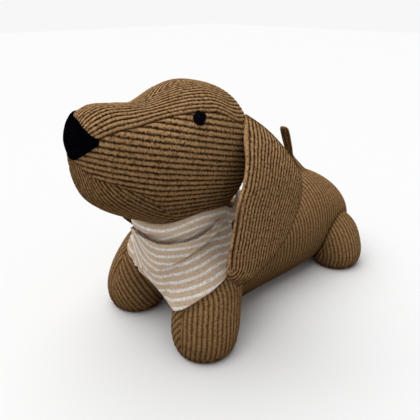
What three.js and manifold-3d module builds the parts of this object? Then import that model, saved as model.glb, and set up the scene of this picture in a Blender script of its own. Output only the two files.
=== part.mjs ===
// Weighted fabric door stop: a stuffed corduroy dachshund with a neckerchief.
// Millimetres, +Z up. The dog looks along -Y and its left side is +X.
// The origin is on the floor, in the middle of the box around the whole dog.
import * as THREE from 'three';
import { mergeVertices } from 'three/addons/utils/BufferGeometryUtils.js';
import Module from 'manifold-3d';

const wasm = await Module();
wasm.setup();

// Cloth and sewing
const GAP = 0.3; // between pieces that are sewn or rest on each other
const RIB_PITCH = 10; // one rib here stands for two or three wales of the cloth
const RIB_DEPTH = 0.8;
const FLAT_STEPS = 96; // points that measure round a section before it is divided

// Torso
const TORSO_WIDTH = 100;
const TORSO_TOP = 103;
const SADDLE = 20; // the back is this much lower behind the neck than at the rump
const RUMP_Y = 166;
const CHEST_Y = -96;
const NECK_TOP = 140;
const TORSO_SQUARE = 2.15; // 2 is an ellipse, more is squarer

// Base panel and the sand pouch on it
const PANEL_LENGTH = 134;
const PANEL_WIDTH = 46;
const PANEL_THICKNESS = 2;
const PANEL_Y = 42;
const POUCH_LENGTH = 124;
const POUCH_WIDTH = 66;
const POUCH_TOP = 58;

// Head
const HEAD_WIDTH = 90;
const HEAD_TOP = 208;
const HEAD_BOTTOM = 103;
const NOSE_Y = -144;
const NAPE_Y = 0;

// Nose patch and eyes
const NOSE_THICKNESS = 1.6;
const NOSE_WIDTH = 40;
const NOSE_TOP = HEAD_TOP - 11;
const NOSE_CORNER = HEAD_TOP - 27;
const NOSE_TIP = HEAD_TOP - 43;
const NOSE_DEPTH = 30;
const EYE_RADIUS = 4.6;
const EYE_Y = -63;
const EYE_Z = HEAD_TOP - 20;
const EYE_REACH = HEAD_WIDTH / 2 + 15; // how far out the search for the head's cheek begins

// Ears, whose outlines are shares of their length from where they are sewn on
const EAR_LENGTH = 118;
const EAR_ROOT_Y = -18;
const EAR_ROOT_Z = HEAD_TOP - 25;
const EAR_THICKNESS = 9;
const EAR_TOP_X = HEAD_WIDTH / 2 - 9;
const EAR_TIP_X = 71;
const EAR_FOLD_WIDTH = 9;
const EAR_FOLD_THICKNESS = 6;
const EAR_SLIT = 1.2;
const EAR_RIGHT_BACK = 2; // the right ear hangs this much further back

// Legs
const FORELEG_X = 46;
const FORELEG_Y = -70;
const FORELEG_WIDTH = 55;
const FORELEG_LENGTH = 56;
const FORELEG_TOP = 80;
const FORELEG_LEAN = 8; // how far the top lies in under the shoulder
const HINDLEG_X = 50;
const HINDLEG_Y = 128;
const HINDLEG_WIDTH = 53;
const HINDLEG_LENGTH = 54;
const HINDLEG_TOP = 62;
const HINDLEG_LEAN = 12;
const SOLE_SHARE = 0.8; // the flat sole against the fullest section of the foot

// Tail
const TAIL_WIDTH = 7.5;
const TAIL_THICKNESS = 5;
const TAIL_BASE = new THREE.Vector3(0, 122, 96);
const TAIL_NECK = new THREE.Vector3(0, 103, 120);
const TAIL_END = new THREE.Vector3(0, 86, 151);

// Neckerchief
const CLOTH = 2.4; // the folded linen's thickness
const NECK_X = 41;
const NECK_FRONT = 41;
const NECK_BACK = 58;
const NECK_CENTRE_Y = -57;
const KERCHIEF_TOP = 118; // where the jaw does not hold it lower
const TUCK = 4; // how far the top edge turns in under the jaw
const REST = 0.8; // between the hanging cloth and the body under it
const FRONT_SPREAD = 34; // the most that the body under it pushes the cloth out
const BACK_SPREAD = 5; // the same behind the neck
const BAND_WIDTH = 26;
const FLAP_DROP = 76;
const FLAP_TURN = 0.7; // radians that the tip is turned to the dog's left
const FLAP_SPREAD = 1.5; // half the angle round the neck that the flap takes
const ROLL = 2.2; // how far the rolled band stands out
const FALL_STEP = 4; // the spacing of the places where the hanging cloth is measured
const KERCHIEF_TURNS = 36;

const cloth = (hex, roughness = 0.95) =>
  new THREE.MeshStandardMaterial({ color: hex, roughness, metalness: 0 });

// Closed geometry from rings of points and a point at each end.
function skin(rings, first, last) {
  const count = rings[0].length;
  const points = [first, ...rings.flat(), last];
  const at = (ring, k) => 1 + ring * count + (k % count);
  const faces = [];
  for (let k = 0; k < count; k++) {
    faces.push(0, at(0, k + 1), at(0, k));
    faces.push(points.length - 1, at(rings.length - 1, k), at(rings.length - 1, k + 1));
    for (let ring = 0; ring < rings.length - 1; ring++) {
      faces.push(at(ring, k), at(ring, k + 1), at(ring + 1, k));
      faces.push(at(ring, k + 1), at(ring + 1, k + 1), at(ring + 1, k));
    }
  }
  return outward(fromPoints(points, faces));
}

// A band of sections that closes on itself round the neck.
function hoop(sections) {
  const rows = sections[0].length;
  const at = (s, k) => (s % sections.length) * rows + (k % rows);
  const faces = [];
  for (let s = 0; s < sections.length; s++) {
    for (let k = 0; k < rows; k++) {
      faces.push(at(s, k), at(s, k + 1), at(s + 1, k));
      faces.push(at(s, k + 1), at(s + 1, k + 1), at(s + 1, k));
    }
  }
  return outward(fromPoints(sections.flat(), faces));
}

function fromPoints(points, faces) {
  const geometry = new THREE.BufferGeometry().setFromPoints(points);
  geometry.setIndex(faces);
  return geometry;
}

// Turns the faces round if they enclose the volume the wrong way.
function outward(geometry) {
  const p = geometry.attributes.position;
  const index = geometry.index.array;
  const [a, b, c] = [new THREE.Vector3(), new THREE.Vector3(), new THREE.Vector3()];
  let volume = 0;
  for (let i = 0; i < index.length; i += 3) {
    a.fromBufferAttribute(p, index[i]);
    b.fromBufferAttribute(p, index[i + 1]);
    c.fromBufferAttribute(p, index[i + 2]);
    volume += a.dot(b.cross(c));
  }
  if (volume < 0) {
    for (let i = 0; i < index.length; i += 3) {
      [index[i + 1], index[i + 2]] = [index[i + 2], index[i + 1]];
    }
  }
  return geometry;
}

function solid(geometry) {
  const bare = geometry.clone();
  bare.deleteAttribute('normal');
  bare.deleteAttribute('uv');
  const merged = mergeVertices(bare, 1e-4);
  const mesh = new wasm.Mesh({
    numProp: 3,
    vertProperties: new Float32Array(merged.attributes.position.array),
    triVerts: new Uint32Array(merged.index.array),
  });
  return new wasm.Manifold(mesh);
}

// The same shape with its skin moved out by a clearance.
function grown(geometry, by = GAP) {
  const wider = geometry.clone();
  wider.computeVertexNormals();
  const p = wider.attributes.position;
  const n = wider.attributes.normal;
  for (let i = 0; i < p.count; i++) {
    p.setXYZ(i, p.getX(i) + by * n.getX(i), p.getY(i) + by * n.getY(i), p.getZ(i) + by * n.getZ(i));
  }
  return solid(wider);
}

function cut(geometry, ...tools) {
  return tools.reduce((body, tool) => body.subtract(tool), solid(geometry));
}

// The largest connected body of a cut, back as geometry.
function geometryOf(body) {
  const bodies = body.decompose().sort((p, q) => q.volume() - p.volume());
  const { vertProperties, triVerts } = bodies[0].getMesh();
  const geometry = new THREE.BufferGeometry();
  geometry.setAttribute('position', new THREE.BufferAttribute(vertProperties, 3));
  geometry.setIndex(new THREE.BufferAttribute(triVerts, 1));
  return geometry;
}

// A stuffed form from stations [front y, front z, back y, back z, half width, centre x].
// Each station is one section, from its front edge to its back edge, and the
// first and last stations are the points where the form closes.
function form(stations) {
  const curve = (i, j) => new THREE.SplineCurve(stations.map((s) => new THREE.Vector2(s[i], s[j])));
  return { front: curve(0, 1), back: curve(2, 3), middle: curve(4, 5) };
}

function section(shape, t, square) {
  const front = shape.front.getPoint(t);
  const back = shape.back.getPoint(t);
  const middle = shape.middle.getPoint(t);
  const centre = new THREE.Vector3(middle.y, (front.x + back.x) / 2, (front.y + back.y) / 2);
  const half = new THREE.Vector3(0, (front.x - back.x) / 2, (front.y - back.y) / 2);
  const width = Math.max(middle.x, 0);
  const bulge = (v) => Math.sign(v) * Math.abs(v) ** (2 / square);
  return (angle) => {
    const along = bulge(Math.cos(angle));
    const across = bulge(Math.sin(angle));
    const point = centre.clone().addScaledVector(half, along);
    point.x += width * across;
    return point;
  };
}

// Points round a section, evenly spaced along its edge.
function evenRing(shape, t, count, square) {
  const edge = section(shape, t, square);
  const fine = Array.from({ length: FLAT_STEPS + 1 }, (_, i) => edge((2 * Math.PI * i) / FLAT_STEPS));
  const run = [0];
  for (let i = 1; i <= FLAT_STEPS; i++) run.push(run[i - 1] + fine[i].distanceTo(fine[i - 1]));
  const ring = [];
  let i = 0;
  for (let k = 0; k < count; k++) {
    const want = (run[FLAT_STEPS] * k) / count;
    while (i < FLAT_STEPS - 1 && run[i + 1] < want) i++;
    const share = (want - run[i]) / Math.max(run[i + 1] - run[i], 1e-9);
    ring.push(fine[i].clone().lerp(fine[i + 1], share));
  }
  return ring;
}

// Places along the form, evenly spaced along the mean of its two edges.
function evenPlaces(shape, count) {
  const fine = 200;
  const run = [0];
  for (let i = 1; i <= fine; i++) {
    const step = (edge) => edge.getPoint(i / fine).distanceTo(edge.getPoint((i - 1) / fine));
    run.push(run[i - 1] + (step(shape.front) + step(shape.back)) / 2);
  }
  const places = [];
  let i = 0;
  for (let k = 1; k <= count; k++) {
    const want = (run[fine] * k) / (count + 1);
    while (i < fine - 1 && run[i + 1] < want) i++;
    places.push((i + (want - run[i]) / Math.max(run[i + 1] - run[i], 1e-9)) / fine);
  }
  return places;
}

function edgeLength(ring) {
  return ring.reduce((sum, p, k) => sum + p.distanceTo(ring[(k + 1) % ring.length]), 0);
}

// A stuffed piece. Ribs run 'along' it, 'round' it, or not at all.
function stuffed(stations, { rings, columns, ribs, square = 2, floor = -Infinity }) {
  const shape = form(stations);
  const middleRing = evenRing(shape, 0.5, FLAT_STEPS, square);
  const across = columns ?? 2 * Math.round(edgeLength(middleRing) / RIB_PITCH);
  const reach = (shape.front.getLength() + shape.back.getLength()) / 2;
  const count = rings ?? 2 * Math.round(reach / RIB_PITCH) - 1;
  const skinRings = evenPlaces(shape, count).map((t, row) => {
    const ring = evenRing(shape, t, across, square);
    const centre = ring.reduce((sum, p) => sum.add(p), new THREE.Vector3()).divideScalar(across);
    const crowding = Math.min(1, edgeLength(ring) / edgeLength(middleRing));
    return ring.map((p, k) => {
      const high = ribs === 'along' ? k % 2 === 0 : row % 2 === 0;
      const depth = ribs ? RIB_DEPTH * crowding * (high ? 0 : -1) : 0;
      const out = p.clone().sub(centre).normalize();
      const moved = p.clone().addScaledVector(out, depth);
      moved.z = Math.max(moved.z, floor);
      return moved;
    });
  });
  const pole = (t) => {
    const front = shape.front.getPoint(t);
    return new THREE.Vector3(shape.middle.getPoint(t).y, front.x, Math.max(front.y, floor));
  };
  return skin(skinRings, pole(0), pole(1));
}

// Torso, from the rump along the back and down the chest to the neck inside the head
function torsoGeometry() {
  const w = TORSO_WIDTH / 2;
  const top = TORSO_TOP;
  const low = -7; // the belly would sag this far if the floor did not flatten it
  return stuffed(
    [
      [RUMP_Y, 50, RUMP_Y, 50, 0, 0],
      [RUMP_Y - 6, top - 30, RUMP_Y - 8, 15, 0.66 * w, 0],
      [RUMP_Y - 26, top - 9, RUMP_Y - 30, low + 4, 0.9 * w, 0],
      [RUMP_Y - 61, top - 1, RUMP_Y - 62, low, w, 0],
      [70, top - SADDLE / 2, 65, low, 0.96 * w, 0],
      [36, top - SADDLE, 20, low, 0.84 * w, 0],
      [8, top - SADDLE / 2, -20, low, 0.84 * w, 0],
      [-10, top + 6, CHEST_Y + 46, 8, 0.84 * w, 0],
      [-17, top + 12, CHEST_Y + 20, 44, 0.8 * w, 0],
      [-22, top + 18, CHEST_Y + 5, 84, 0.72 * w, 0],
      [-36, NECK_TOP - 4, CHEST_Y + 8, 112, 0.62 * w, 0],
      [-62, NECK_TOP, -62, NECK_TOP, 0, 0],
    ],
    { columns: 20, ribs: 'round', square: TORSO_SQUARE, floor: 0 },
  );
}

function headGeometry() {
  const w = HEAD_WIDTH / 2;
  const high = HEAD_TOP;
  const low = HEAD_BOTTOM;
  return stuffed(
    [
      [NOSE_Y, 170, NOSE_Y, 170, 0, 0],
      [NOSE_Y + 6, high - 16, NOSE_Y + 5, low + 41, 0.36 * w, 0],
      [NOSE_Y + 20, high - 7.5, NOSE_Y + 15, low + 27, 0.62 * w, 0],
      [NOSE_Y + 40, high - 9, NOSE_Y + 37, low + 13, 0.8 * w, 0],
      [NOSE_Y + 60, high - 10.5, NOSE_Y + 60, low + 5, 0.91 * w, 0],
      [NOSE_Y + 84, high - 2, NOSE_Y + 88, low - 3, 0.98 * w, 0],
      [NOSE_Y + 104, high, NOSE_Y + 110, low - 2, w, 0],
      [NAPE_Y - 16, high - 9, NAPE_Y - 16, low + 8, 0.92 * w, 0],
      [NAPE_Y - 4, high - 30, NAPE_Y - 4, low + 26, 0.62 * w, 0],
      [NAPE_Y, 154, NAPE_Y, 154, 0, 0],
    ],
    { rings: 14, ribs: 'along', square: 2.4 },
  );
}

// One leg, from its flat sole up to the point where it ends inside the torso
function legGeometry(side, leg) {
  const x = side * leg.x;
  const rise = leg.top;
  const inward = side * leg.lean;
  const long = leg.length / 2;
  const wide = leg.width / 2;
  const tread = SOLE_SHARE;
  return stuffed(
    [
      [leg.y, 0, leg.y, 0, 0, x],
      [leg.y - tread * long, 0, leg.y + tread * long, 0, tread * wide, x],
      [leg.y - long, 0.2 * rise, leg.y + long, 0.2 * rise, wide, x],
      [leg.y - 0.9 * long, 0.45 * rise, leg.y + 1.1 * long, 0.45 * rise, 0.95 * wide, x - 0.2 * inward],
      [leg.y - 0.6 * long, 0.7 * rise, leg.y + 1.15 * long, 0.7 * rise, 0.82 * wide, x - 0.6 * inward],
      [leg.y - 0.2 * long, 0.92 * rise, leg.y + 0.7 * long, 0.92 * rise, 0.5 * wide, x - inward],
      [leg.y + 0.3 * long, rise, leg.y + 0.3 * long, rise, 0, x - inward],
    ],
    { rings: 7, ribs: 'along', floor: 0 },
  );
}

const earX = (share) => THREE.MathUtils.lerp(EAR_TOP_X, EAR_TIP_X, share);
const earY = (share) => EAR_ROOT_Y + share * EAR_LENGTH;
const earZ = (share) => EAR_ROOT_Z - share * EAR_LENGTH;

// Each ear is a leaf that hangs from the crown's side, lies out over the
// shoulder, and has its front edge folded back on itself. Each row gives the
// front and back edges' y and z, the thickness and the place across.
function earGeometry(side) {
  const leaf = [
    [0, 0, 0.024, 0, 0, 0],
    [-0.042, 0.068, 0.161, 0.106, 0.8, 0.16],
    [-0.119, 0.144, 0.242, 0.212, 1, 0.4],
    [-0.169, 0.237, 0.339, 0.352, 1, 0.6],
    [-0.237, 0.347, 0.386, 0.487, 1, 0.74],
    [-0.314, 0.466, 0.356, 0.636, 1, 0.82],
    [-0.373, 0.61, 0.22, 0.809, 1, 0.9],
    [-0.432, 0.754, 0.051, 0.915, 0.9, 0.96],
    [-0.458, 0.873, -0.195, 0.992, 0.7, 1],
    [-0.356, 1, -0.339, 1, 0, 1],
  ];
  const thick = EAR_THICKNESS / 2;
  const stations = leaf.map(([frontY, frontZ, backY, backZ, full, out]) =>
    [earY(frontY), earZ(frontZ), earY(backY), earZ(backZ), full * thick, side * earX(out)]);
  return stuffed(stations, { rings: 9, ribs: 'along', square: 2.6 });
}

// The fold's rows give its front edge's y and z, its depth, its thickness and the place across.
function earFoldGeometry(side) {
  const fold = [
    [-0.263, 0.39, 0, 0, 0.74],
    [-0.339, 0.5, 0.9, 1, 0.81],
    [-0.39, 0.636, 1, 1, 0.88],
    [-0.441, 0.763, 1, 1, 0.94],
    [-0.466, 0.881, 1, 0.8, 1],
    [-0.424, 0.966, 0, 0, 1],
  ];
  const thick = EAR_FOLD_THICKNESS / 2;
  const proud = EAR_THICKNESS / 2 + 0.7 * thick;
  const stations = fold.map(([y, z, deep, full, out]) => {
    const [front, high] = [earY(y), earZ(z)];
    const back = front + deep * EAR_FOLD_WIDTH;
    return [front, high, back, high - deep, full * thick, side * (earX(out) + proud)];
  });
  return stuffed(stations, { rings: 6, columns: 8, ribs: null });
}

// The dark line beside the fold, where the turned edge lifts off the leaf
function earSlitGeometry(side) {
  const route = [[0.8, -0.263, 0.5], [0.88, -0.314, 0.619], [0.95, -0.373, 0.746], [1, -0.398, 0.856]];
  const slit = new THREE.CatmullRomCurve3(
    route.map(([out, y, z]) => new THREE.Vector3(side * (earX(out) + EAR_THICKNESS / 2), earY(y), earZ(z))),
  );
  const deep = EAR_SLIT + 1;
  const mouth = new THREE.Shape();
  mouth.moveTo(-deep, -EAR_SLIT / 2);
  mouth.lineTo(deep, -EAR_SLIT / 2);
  mouth.lineTo(deep, EAR_SLIT / 2);
  mouth.lineTo(-deep, EAR_SLIT / 2);
  return new THREE.ExtrudeGeometry(mouth, { steps: 8, extrudePath: slit });
}

function tailGeometry() {
  const route = new THREE.CatmullRomCurve3([TAIL_BASE, TAIL_NECK, TAIL_END]);
  const end = TAIL_END.clone().sub(TAIL_NECK).normalize().multiplyScalar(TAIL_THICKNESS / 2);
  const wide = TAIL_WIDTH / 2;
  const thick = TAIL_THICKNESS / 2;
  const at = (t, w, d) => {
    const p = route.getPoint(t);
    return [p.y - d, p.z, p.y + d, p.z, w, 0];
  };
  const stations = [
    [TAIL_BASE.y, TAIL_BASE.z, TAIL_BASE.y, TAIL_BASE.z, 0, 0],
    at(0.06, 2.6 * wide, 3.4 * thick),
    at(0.2, 2 * wide, 2.8 * thick),
    at(0.45, 0.8 * wide, 1.1 * thick),
    at(0.65, wide, thick),
    at(1, wide, thick),
    [TAIL_END.y + end.y, TAIL_END.z + end.z, TAIL_END.y + end.y, TAIL_END.z + end.z, 0, 0],
  ];
  return stuffed(stations, { rings: 12, columns: 12, ribs: null, square: 2.6 });
}

// A point on the cheek straight in from the side.
function cheek(head, side, y, z) {
  const mesh = new THREE.Mesh(head, new THREE.MeshBasicMaterial({ side: THREE.DoubleSide }));
  const from = new THREE.Vector3(side * EYE_REACH, y, z);
  const ray = new THREE.Raycaster(from, new THREE.Vector3(-side, 0, 0));
  return ray.intersectObject(mesh)[0].point;
}

function eyeGeometry(head, side) {
  const seat = cheek(head, side, EYE_Y, EYE_Z);
  const ball = new THREE.IcosahedronGeometry(EYE_RADIUS, 2);
  ball.translate(seat.x, seat.y, seat.z);
  return ball;
}

// The patch is the part of a thicker snout that lies behind a rounded triangle.
function noseSolid(head) {
  const half = NOSE_WIDTH / 2;
  const low = NOSE_CORNER - 5;
  const patch = new THREE.Shape();
  patch.moveTo(0, NOSE_TIP);
  patch.quadraticCurveTo(0.35 * half, NOSE_TIP, 0.9 * half, low);
  patch.quadraticCurveTo(1.05 * half, NOSE_CORNER, 0.85 * half, NOSE_CORNER + 3);
  patch.quadraticCurveTo(0.42 * half, NOSE_CORNER + 10, 0, NOSE_TOP);
  patch.quadraticCurveTo(-0.42 * half, NOSE_CORNER + 10, -0.85 * half, NOSE_CORNER + 3);
  patch.quadraticCurveTo(-1.05 * half, NOSE_CORNER, -0.9 * half, low);
  patch.quadraticCurveTo(-0.35 * half, NOSE_TIP, 0, NOSE_TIP);
  const depth = 2 * NOSE_DEPTH;
  const block = new THREE.ExtrudeGeometry(patch, { depth, bevelEnabled: false, curveSegments: 4 });
  block.rotateX(Math.PI / 2);
  block.translate(0, NOSE_Y + NOSE_DEPTH, 0);
  return grown(head, GAP + NOSE_THICKNESS).intersect(solid(block)).subtract(grown(head));
}

// The distance from a point to the first surface that a ray meets.
function seen(meshes, from, way, far) {
  const hits = new THREE.Raycaster(from, way, 0, far).intersectObjects(meshes);
  return hits.length ? hits[0].distance : far;
}

// The fall of the cloth at one angle round the neck. Its top edge is tucked under
// the jaw, and it hangs straight down or lies out over whatever is under it.
// Behind the neck it ends just above the back.
function fallAt(head, under, angle) {
  const axis = new THREE.Vector3(0, NECK_CENTRE_Y, 0);
  const way = (turn) => new THREE.Vector3(Math.sin(angle + turn), -Math.cos(angle + turn), 0);
  const behind = way(0).y > 0;
  const neck = 1 / Math.hypot(way(0).x / NECK_X, way(0).y / (behind ? NECK_BACK : NECK_FRONT));
  const far = TORSO_WIDTH * 2;
  const tuck = axis.clone().addScaledVector(way(0), neck - TUCK);
  const jaw = seen([head], tuck, new THREE.Vector3(0, 0, 1), far);
  const top = Math.min(KERCHIEF_TOP, jaw - 2 * GAP);
  const edge = axis.clone().addScaledVector(way(0), neck).setZ(top);
  const room = seen(under, edge, new THREE.Vector3(0, 0, -1), far) - REST;
  const bodyAt = (z) => (turn) => {
    const from = axis.clone().addScaledVector(way(turn), far).setZ(z);
    return far - seen(under, from, way(turn).negate(), far) + REST;
  };
  const reach = [neck - TUCK];
  const half = Math.PI / KERCHIEF_TURNS;
  while (reach.length * FALL_STEP < FLAP_DROP + 2 * FALL_STEP) {
    const body = Math.max(...[-half, 0, half].map(bodyAt(top - reach.length * FALL_STEP)));
    const pushed = Math.min(body, neck + (behind ? BACK_SPREAD : FRONT_SPREAD));
    reach.push(Math.max(neck, pushed, reach[reach.length - 1]));
  }
  const last = reach.length - 1;
  const near = (i) => reach[THREE.MathUtils.clamp(i, 0, last)];
  const eased = reach.map((v, i) => Math.max(near(i + 1), (near(i - 1) + near(i + 1) + near(i + 2)) / 3));
  eased[0] = neck - TUCK;
  const point = (drop, lift) => {
    const i = Math.min(drop / FALL_STEP, last);
    const low = Math.min(Math.floor(i), last - 1);
    const roll = drop < BAND_WIDTH ? ROLL * Math.sin((Math.PI * drop) / BAND_WIDTH) ** 2 : 0;
    const r = THREE.MathUtils.lerp(eased[low], eased[low + 1], i - low) + roll + lift;
    return axis.clone().addScaledVector(way(0), r).setZ(top - drop);
  };
  return { point, longest: behind ? room : FLAP_DROP };
}

function kerchiefGeometry(head, bodies) {
  const turns = KERCHIEF_TURNS;
  const rows = 7;
  const jaw = new THREE.Mesh(head, new THREE.MeshBasicMaterial({ side: THREE.DoubleSide }));
  const under = bodies.map((body) => new THREE.Mesh(body));
  const sections = Array.from({ length: turns }, (_, i) => {
    const angle = -Math.PI + (2 * Math.PI * i) / turns;
    const off = Math.abs(angle - FLAP_TURN) / FLAP_SPREAD;
    const fall = BAND_WIDTH + Math.max(0, 1 - off) * (FLAP_DROP - BAND_WIDTH);
    const { point, longest } = fallAt(jaw, under, angle);
    const step = Math.min(fall, longest) / (rows - 1);
    const side = (lift) => Array.from({ length: rows }, (_, k) => point(step * k, lift));
    return [...side(CLOTH), ...side(0).reverse()];
  });
  return hoop(sections);
}

function panelShape(extra) {
  const half = PANEL_WIDTH / 2 + extra;
  const straight = (PANEL_LENGTH - PANEL_WIDTH) / 2;
  const shape = new THREE.Shape();
  shape.absarc(0, straight, half, 0, Math.PI, false);
  shape.absarc(0, -straight, half, Math.PI, 2 * Math.PI, false);
  return shape;
}

function panelGeometry(extra, bottom, top) {
  const plate = new THREE.ExtrudeGeometry(panelShape(extra), {
    depth: top - bottom,
    bevelEnabled: false,
    curveSegments: 10,
  });
  plate.translate(0, PANEL_Y, bottom);
  return plate;
}

function pouchGeometry() {
  const long = POUCH_LENGTH / 2;
  const seat = PANEL_THICKNESS + GAP;
  const w = POUCH_WIDTH / 2;
  const mid = (POUCH_TOP + seat) / 2;
  return stuffed(
    [
      [PANEL_Y - long, mid - 6, PANEL_Y - long, mid - 6, 0, 0],
      [PANEL_Y - 0.92 * long, POUCH_TOP - 12, PANEL_Y - 0.92 * long, seat, 0.6 * w, 0],
      [PANEL_Y - 0.5 * long, POUCH_TOP, PANEL_Y - 0.5 * long, seat - 3, w, 0],
      [PANEL_Y + 0.5 * long, POUCH_TOP, PANEL_Y + 0.5 * long, seat - 3, w, 0],
      [PANEL_Y + 0.92 * long, POUCH_TOP - 12, PANEL_Y + 0.92 * long, seat, 0.6 * w, 0],
      [PANEL_Y + long, mid - 6, PANEL_Y + long, mid - 6, 0, 0],
    ],
    { rings: 8, columns: 14, ribs: null, floor: seat },
  );
}

const FORELEG = {
  x: FORELEG_X,
  y: FORELEG_Y,
  width: FORELEG_WIDTH,
  length: FORELEG_LENGTH,
  top: FORELEG_TOP,
  lean: FORELEG_LEAN,
};
const HINDLEG = {
  x: HINDLEG_X,
  y: HINDLEG_Y,
  width: HINDLEG_WIDTH,
  length: HINDLEG_LENGTH,
  top: HINDLEG_TOP,
  lean: HINDLEG_LEAN,
};

const head = headGeometry();
const torso = torsoGeometry();
const pouch = pouchGeometry();
const headSeat = grown(head);
const torsoSeat = grown(torso);
const legs = {
  foreleg_left: legGeometry(1, FORELEG),
  foreleg_right: legGeometry(-1, FORELEG),
  hindleg_left: legGeometry(1, HINDLEG),
  hindleg_right: legGeometry(-1, HINDLEG),
};
const kerchief = kerchiefGeometry(head, [torso, ...Object.values(legs)]);
const legSeats = Object.values(legs).map((leg) => grown(leg));
const kerchiefSeat = grown(kerchief);

const BROWN = 0x8c6c4c;
const BLACK = 0x0d0e14;
const LINEN = 0xc9b49a;
const CANVAS = 0x9a8b76;

const dog = new THREE.Group();

function add(name, geometry, material) {
  const mesh = new THREE.Mesh(geometry, material);
  mesh.name = name;
  mesh.geometry.computeVertexNormals();
  dog.add(mesh);
}

const opening = solid(panelGeometry(GAP, -1, PANEL_THICKNESS + 2 * GAP));
add('torso', geometryOf(cut(torso, headSeat, opening, grown(pouch))), cloth(BROWN));
add('belly_panel', panelGeometry(0, 0, PANEL_THICKNESS), cloth(BROWN));
add('weight_bag', pouch, cloth(CANVAS));
add('head', geometryOf(solid(head)), cloth(BROWN));
add('nose_patch', geometryOf(noseSolid(head)), cloth(BLACK));
for (const [name, leg] of Object.entries(legs)) {
  add(name, geometryOf(cut(leg, torsoSeat)), cloth(BROWN));
}
for (const [word, side, back] of [['left', 1, 0], ['right', -1, EAR_RIGHT_BACK]]) {
  add(`eye_${word}`, geometryOf(cut(eyeGeometry(head, side), headSeat)), cloth(BLACK, 0.7));
  const leaf = solid(earGeometry(side)).add(solid(earFoldGeometry(side)));
  const hung = leaf.subtract(solid(earSlitGeometry(side))).translate([0, back, 0]);
  const seats = [headSeat, torsoSeat, kerchiefSeat, ...legSeats];
  add(`ear_${word}`, geometryOf(seats.reduce((body, seat) => body.subtract(seat), hung)), cloth(BROWN));
}
add('tail', geometryOf(cut(tailGeometry(), torsoSeat)), cloth(BROWN));
add('neckerchief', geometryOf(cut(kerchief, headSeat, torsoSeat, ...legSeats)), cloth(LINEN));

// The middle of the box round the dog stands over the origin.
const box = new THREE.Box3().setFromObject(dog);
dog.position.y = -(box.min.y + box.max.y) / 2;

const doorStop = new THREE.Group();
doorStop.add(dog);

export default doorStop;
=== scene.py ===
"""Weighted fabric door stop: a stuffed corduroy dachshund with a linen neckerchief.

Shapes are worked out in millimetres, with the dog looking along -Y and its left
side at +X, and are moved to the scene's metres when a piece is made.
"""
import math

import bpy
import numpy as np
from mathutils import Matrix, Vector, noise
from mathutils.bvhtree import BVHTree


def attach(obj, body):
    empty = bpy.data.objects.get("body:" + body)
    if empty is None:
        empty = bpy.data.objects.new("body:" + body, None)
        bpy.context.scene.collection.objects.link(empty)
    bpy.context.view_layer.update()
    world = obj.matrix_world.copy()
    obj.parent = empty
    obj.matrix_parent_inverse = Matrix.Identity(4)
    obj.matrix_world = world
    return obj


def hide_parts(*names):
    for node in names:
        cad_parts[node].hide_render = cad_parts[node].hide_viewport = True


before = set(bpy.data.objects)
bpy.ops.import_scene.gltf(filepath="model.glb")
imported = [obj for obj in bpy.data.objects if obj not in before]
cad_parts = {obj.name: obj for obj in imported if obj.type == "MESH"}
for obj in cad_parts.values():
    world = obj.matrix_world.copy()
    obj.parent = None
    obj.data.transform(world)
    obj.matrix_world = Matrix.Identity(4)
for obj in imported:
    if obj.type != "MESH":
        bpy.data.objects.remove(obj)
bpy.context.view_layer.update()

MM = 0.001
CENTRE_Y = -10.05  # moves the middle of the dog's box over the origin

# Corduroy
WALE = 4.1  # from one rib to the next
WALE_DEPTH = 0.65
SEAM_WIDTH = 1.3
SEAM_DEPTH = 1.3
STEP = 0.9  # spacing of the points across the ribs
LONG_STEP = 2.6  # and along them
RIB_ROUNDING = 0.8  # below 1, a rib's top is flatter than a sine
SEAM_CALM = 2.2  # the ribs fade within this distance of a seam
SEAM_DARK, SEAM_DARK_WIDTH = 0.75, 0.9
PAINTED_UNDERSIDE_SHADE, UNDERSIDE_FROM = 0.74, 0.55  # painted shade: how much darker the cloth is painted where it faces down, in place of light falling from above
WELD = 2e-3  # points closer than this are one

# Camera, fitted to the photograph
CAMERA_AT = Vector((257.1, -276.05, 261.7))
CAMERA_TO = Vector((-18, 0, 80))
CAMERA_LENS = 38.57
SENSOR = 36
PHOTO_SIZE = 420


# Camera
def camera_axes():
    ahead = (CAMERA_TO - CAMERA_AT).normalized()
    right = ahead.cross(Vector((0, 0, 1))).normalized()
    return ahead, right, right.cross(ahead)


def pixel_ray(px, py):
    """The ray through a pixel of the photograph, in millimetres."""
    ahead, right, up = camera_axes()
    scale = SENSOR / CAMERA_LENS / PHOTO_SIZE
    across = (px - PHOTO_SIZE / 2) * scale
    down = (py - PHOTO_SIZE / 2) * scale
    return CAMERA_AT, (ahead + right * across - up * down).normalized()


def add_camera():
    data = bpy.data.cameras.new("photo_camera")
    data.lens = CAMERA_LENS
    data.sensor_width = SENSOR
    data.clip_start = 0.01
    camera = bpy.data.objects.new("photo_camera", data)
    bpy.context.scene.collection.objects.link(camera)
    ahead, right, up = camera_axes()
    camera.location = to_scene([CAMERA_AT])[0]
    camera.rotation_euler = (-ahead).to_track_quat("Z", "Y").to_euler()
    bpy.context.scene.camera = camera


def to_scene(points):
    moved = np.array(points, float)
    moved[:, 1] += CENTRE_Y
    return moved * MM


# Forms
def spline(points, t):
    """Points on a uniform Catmull-Rom curve through the given ones."""
    points = np.asarray(points, float)
    last = len(points) - 1
    s = np.clip(t, 0, 1) * last
    i = np.minimum(np.floor(s).astype(int), last - 1)
    w = (s - i)[:, None]
    before, a = points[np.maximum(i - 1, 0)], points[i]
    b, after = points[i + 1], points[np.minimum(i + 2, last)]
    va, vb = (b - before) / 2, (after - a) / 2
    return (2 * a - 2 * b + va + vb) * w**3 + (3 * b - 3 * a - 2 * va - vb) * w**2 + va * w + a


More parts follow.
